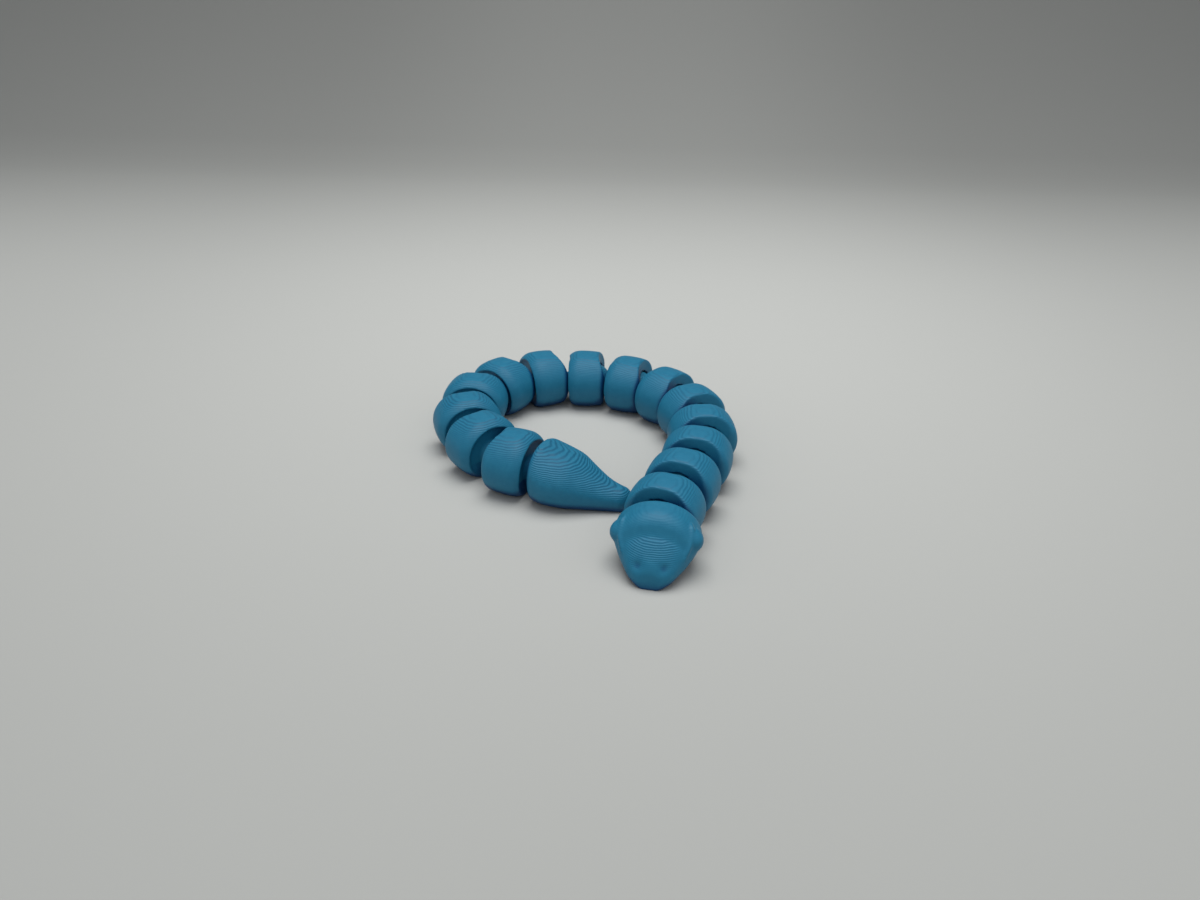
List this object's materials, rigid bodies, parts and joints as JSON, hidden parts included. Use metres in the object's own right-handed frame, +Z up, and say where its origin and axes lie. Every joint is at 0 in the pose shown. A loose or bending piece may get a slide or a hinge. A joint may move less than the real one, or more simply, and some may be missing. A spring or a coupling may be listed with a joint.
{
  "type": "articulated snake toy",
  "caption": "Flat-bottomed toy snake with a blunt head, barrel-shaped body segments and a tapering tail, linked by ball-and-socket joints so that it bends from side to side",
  "frame": {"origin": "centre of the resting toy's bounding box, on the surface that it lies on", "axes": "+Z up from that surface, +Y along the longer side of the curled toy, away from the end where the head and the tail lie, +X to the side on which the head lies"},
  "size_m": [0.0676, 0.086, 0.0124],
  "materials": {
    "blue_plastic": "layered print in satin blue plastic, fine level layer lines"
  },
  "bodies": {
    "head": {"head": "blue_plastic"},
    "segment_01": {"segment_01": "blue_plastic"},
    "segment_02": {"segment_02": "blue_plastic"},
    "segment_03": {"segment_03": "blue_plastic"},
    "segment_04": {"segment_04": "blue_plastic"},
    "segment_05": {"segment_05": "blue_plastic"},
    "segment_06": {"segment_06": "blue_plastic"},
    "segment_07": {"segment_07": "blue_plastic"},
    "segment_08": {"segment_08": "blue_plastic"},
    "segment_09": {"segment_09": "blue_plastic"},
    "segment_10": {"segment_10": "blue_plastic"},
    "segment_11": {"segment_11": "blue_plastic"},
    "segment_12": {"segment_12": "blue_plastic"},
    "segment_13": {"segment_13": "blue_plastic"},
    "segment_14": {"segment_14": "blue_plastic"},
    "tail": {"tail": "blue_plastic"}
  },
  "joints": [
    {"name": "joint_01", "type": "hinge", "parent": "head", "child": "segment_01", "pos_m": [0.01601, -0.02634, 0.0051], "axis": [0, 0, 1], "range_deg": [-20.5, 42.5]},
    {"name": "joint_02", "type": "hinge", "parent": "segment_01", "child": "segment_02", "pos_m": [0.02, -0.0162, 0.0051], "axis": [0, 0, -1], "range_deg": [-24, 32]},
    {"name": "joint_03", "type": "hinge", "parent": "segment_02", "child": "segment_03", "pos_m": [0.02391, -0.00602, 0.0051], "axis": [0, 0, 1], "range_deg": [-39, 10]},
    {"name": "joint_04", "type": "hinge", "parent": "segment_03", "child": "segment_04", "pos_m": [0.02646, 0.00458, 0.0051], "axis": [0, 0, -1], "range_deg": [-6.5, 51]},
    {"name": "joint_05", "type": "hinge", "parent": "segment_04", "child": "segment_05", "pos_m": [0.02532, 0.01542, 0.0051], "axis": [0, 0, 1], "range_deg": [-53, 4.5]},
    {"name": "joint_06", "type": "hinge", "parent": "segment_05", "child": "segment_06", "pos_m": [0.02028, 0.02509, 0.0051], "axis": [0, 0, -1], "range_deg": [-3, 54.5]},
    {"name": "joint_07", "type": "hinge", "parent": "segment_06", "child": "segment_07", "pos_m": [0.01187, 0.03202, 0.0051], "axis": [0, 0, 1], "range_deg": [-52.5, 2.5]},
    {"name": "joint_08", "type": "hinge", "parent": "segment_07", "child": "segment_08", "pos_m": [0.00154, 0.03548, 0.0051], "axis": [0, 0, -1], "range_deg": [-2.5, 50]},
    {"name": "joint_09", "type": "hinge", "parent": "segment_08", "child": "segment_09", "pos_m": [-0.00936, 0.03548, 0.0051], "axis": [0, 0, 1], "range_deg": [-56.5, 3]},
    {"name": "joint_10", "type": "hinge", "parent": "segment_09", "child": "segment_10", "pos_m": [-0.01924, 0.03087, 0.0051], "axis": [0, 0, -1], "range_deg": [-1.5, 61.5]},
    {"name": "joint_11", "type": "hinge", "parent": "segment_10", "child": "segment_11", "pos_m": [-0.02549, 0.02194, 0.0051], "axis": [0, 0, 1], "range_deg": [-61.5, 1.5]},
    {"name": "joint_12", "type": "hinge", "parent": "segment_11", "child": "segment_12", "pos_m": [-0.02644, 0.01108, 0.0051], "axis": [0, 0, -1], "range_deg": [-4.5, 58.5]},
    {"name": "joint_13", "type": "hinge", "parent": "segment_12", "child": "segment_13", "pos_m": [-0.02236, 0.00098, 0.0051], "axis": [0, 0, 1], "range_deg": [-51, 12]},
    {"name": "joint_14", "type": "hinge", "parent": "segment_13", "child": "segment_14", "pos_m": [-0.01514, -0.00719, 0.0051], "axis": [0, 0, -1], "range_deg": [-5.5, 57.5]},
    {"name": "joint_15", "type": "hinge", "parent": "segment_14", "child": "tail", "pos_m": [-0.00507, -0.01136, 0.0051], "axis": [0, 0, 1], "range_deg": [-25, 27]}
  ]
}
